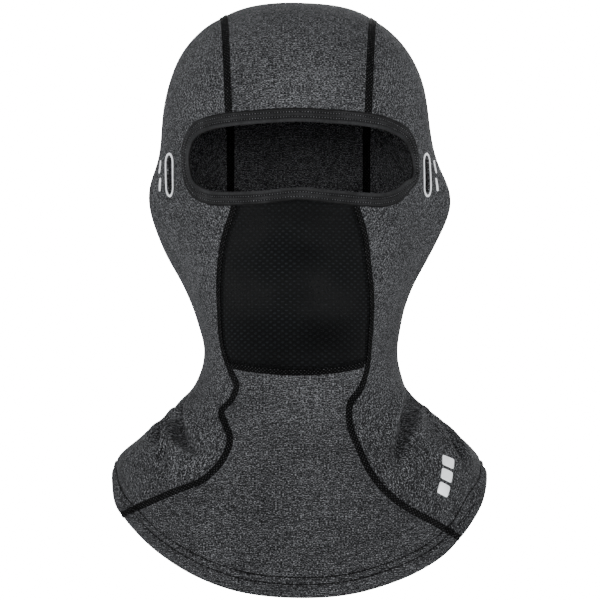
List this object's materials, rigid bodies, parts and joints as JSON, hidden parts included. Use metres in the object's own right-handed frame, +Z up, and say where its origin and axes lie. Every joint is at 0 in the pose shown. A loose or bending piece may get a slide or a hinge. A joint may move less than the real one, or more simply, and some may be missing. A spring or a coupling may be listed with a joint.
{
  "type": "balaclava",
  "caption": "Close-fitting stretch-knit balaclava with a bound eye opening, a knit mouth panel, slots for spectacle arms and a flared bib over neck and shoulders.",
  "frame": {"origin": "inside of the crown, where the top of the head touches the fabric", "axes": "+Z up out of the crown, -Y the way the face looks, +X the wearer's left"},
  "size_m": [0.2534, 0.2116, 0.3932],
  "materials": {
    "heather_jersey": "heathered charcoal stretch jersey, brushed inside",
    "mesh_knit": "black open-pored knit",
    "seam_thread": "black stretch sewing thread",
    "binding_tape": "black folded elastic tape",
    "reflective_film": "silver reflective heat-pressed film",
    "label_tape": "blank woven label"
  },
  "bodies": {
    "root": {"bib_panel": "heather_jersey", "centre_panel": "heather_jersey", "side_panel_left": "heather_jersey", "side_panel_right": "heather_jersey", "mouth_panel": "mesh_knit", "crown_seam_left": "seam_thread", "crown_seam_left_inside": "seam_thread", "crown_seam_right": "seam_thread", "crown_seam_right_inside": "seam_thread", "front_seam_left": "seam_thread", "front_seam_left_inside": "seam_thread", "front_seam_right": "seam_thread", "front_seam_right_inside": "seam_thread", "chin_seam": "seam_thread", "chin_seam_inside": "seam_thread", "eye_binding_stitch_inner": "seam_thread", "eye_binding_stitch_outer": "seam_thread", "hem_stitch_lower": "seam_thread", "hem_stitch_upper": "seam_thread", "hem_stitch_inside": "seam_thread", "eye_binding": "binding_tape", "slot_trim_left": "reflective_film", "slot_trim_right": "reflective_film", "ear_reflector_left_upper": "reflective_film", "ear_reflector_left_lower": "reflective_film", "ear_reflector_right_upper": "reflective_film", "ear_reflector_right_lower": "reflective_film", "shoulder_reflector_upper": "reflective_film", "shoulder_reflector_middle": "reflective_film", "shoulder_reflector_lower": "reflective_film", "care_label": "label_tape"}
  },
  "joints": []
}
